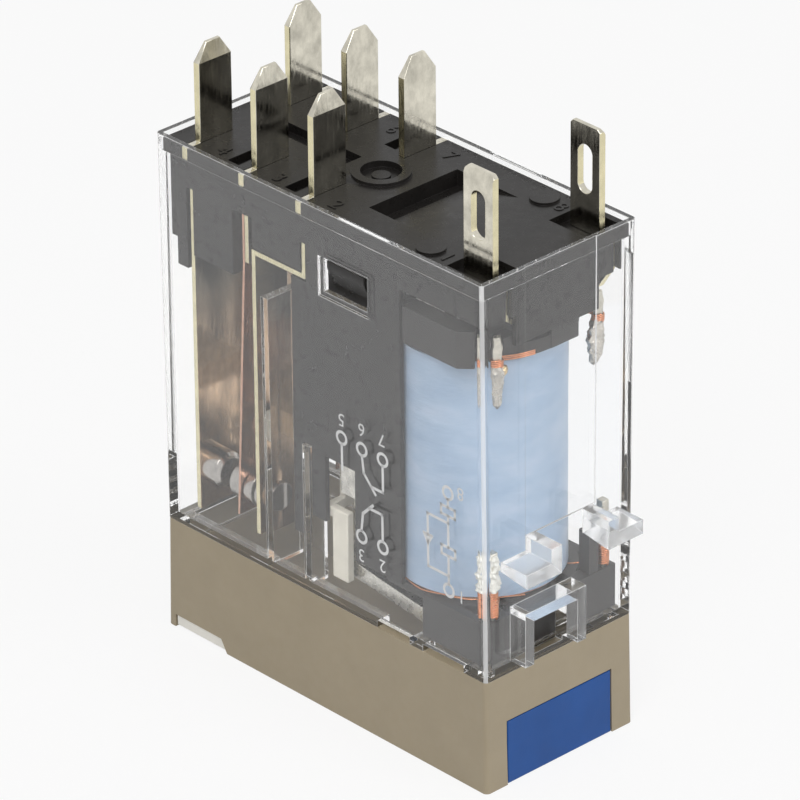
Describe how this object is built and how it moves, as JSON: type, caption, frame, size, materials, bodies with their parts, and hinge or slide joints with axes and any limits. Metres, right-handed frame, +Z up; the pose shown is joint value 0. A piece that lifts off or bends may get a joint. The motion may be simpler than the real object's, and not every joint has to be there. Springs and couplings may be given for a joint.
{
  "type": "plug-in power relay",
  "caption": "Plug-in power relay: clear cover over coil, armature and changeover contacts, blade terminals on one end, taupe cap with test lever on the other.",
  "frame": {"origin": "centre of the cap's resting face", "axes": "+Z up to the blade tips, +X to the coil end with the test lever, +Y across the narrow side"},
  "size_m": [0.0315, 0.013, 0.0415],
  "materials": {
    "cover_clear": "clear polycarbonate, polished",
    "cap_taupe": "fine moulded grain",
    "plate_white": "smooth",
    "lever_blue": "fine moulded grain",
    "base_black": "smooth moulded",
    "bobbin_black": "smooth moulded",
    "blade_tin": "tin plated",
    "winding_copper": "enamelled wire",
    "tape_blue": "wound tape",
    "magnet_steel": "plated",
    "card_ivory": "smooth moulded",
    "spring_copper": "rolled strip",
    "contact_silver": "silver alloy",
    "pin_tin": "tin plated",
    "solder_grey": "soldered"
  },
  "bodies": {
    "housing": {"clear_cover": "cover_clear", "cap": "cap_taupe", "nameplate": "plate_white", "base": "base_black", "coil_bobbin": "bobbin_black", "contact_blade_2_nc": "blade_tin", "contact_blade_3_com": "blade_tin", "contact_blade_4_no": "blade_tin", "contact_blade_5_no": "blade_tin", "contact_blade_6_com": "blade_tin", "contact_blade_7_nc": "blade_tin", "coil_blade_1": "blade_tin", "coil_blade_8": "blade_tin", "coil_winding": "winding_copper", "tap_wire_near": "winding_copper", "tap_wire_far": "winding_copper", "coil_tape": "tape_blue", "core": "magnet_steel", "yoke": "magnet_steel", "hinge_spring": "spring_copper", "fixed_contact_2_nc": "contact_silver", "fixed_contact_4_no": "contact_silver", "fixed_contact_5_no": "contact_silver", "fixed_contact_7_nc": "contact_silver", "spring_rivet_near": "contact_silver", "spring_rivet_far": "contact_silver", "coil_pin_near": "pin_tin", "coil_pin_far": "pin_tin", "tap_post_near": "pin_tin", "tap_post_far": "pin_tin", "solder_joint_near": "solder_grey", "solder_joint_far": "solder_grey"},
    "armature": {"armature": "magnet_steel", "card": "card_ivory"},
    "contact_arm_near": {"contact_spring_near": "spring_copper", "moving_contact_near": "contact_silver"},
    "contact_arm_far": {"contact_spring_far": "spring_copper", "moving_contact_far": "contact_silver"},
    "lever": {"test_lever": "lever_blue"}
  },
  "joints": [
    {"name": "armature_hinge", "type": "hinge", "parent": "housing", "child": "armature", "pos_m": [0.0012, 0, 0.01036], "axis": [0, -1, 0], "range_deg": [0, 7], "stiffness_Nm_per_rad": 0.01, "springref_deg": -11.46, "deforming": ["hinge_spring"]},
    {"name": "contact_bend_near", "type": "hinge", "parent": "housing", "child": "contact_arm_near", "pos_m": [-0.00729, -0.00417, 0.0286], "axis": [0, 1, 0], "range_deg": [0, 2.8], "stiffness_Nm_per_rad": 0.005, "springref_deg": -2.86, "deforming": ["contact_spring_near"]},
    {"name": "contact_bend_far", "type": "hinge", "parent": "housing", "child": "contact_arm_far", "pos_m": [-0.00729, 0.00417, 0.0286], "axis": [0, 1, 0], "range_deg": [0, 2.8], "stiffness_Nm_per_rad": 0.005, "springref_deg": -2.86, "deforming": ["contact_spring_far"]},
    {"name": "lever_hinge", "type": "hinge", "parent": "housing", "child": "lever", "pos_m": [0.0093, 0, 0.00052], "axis": [0, 1, 0], "range_deg": [0, 80]}
  ],
  "couplings": [
    {"joint": "contact_bend_near", "follows": "armature_hinge", "ratio": 0.4},
    {"joint": "contact_bend_far", "follows": "armature_hinge", "ratio": 0.4}
  ]
}
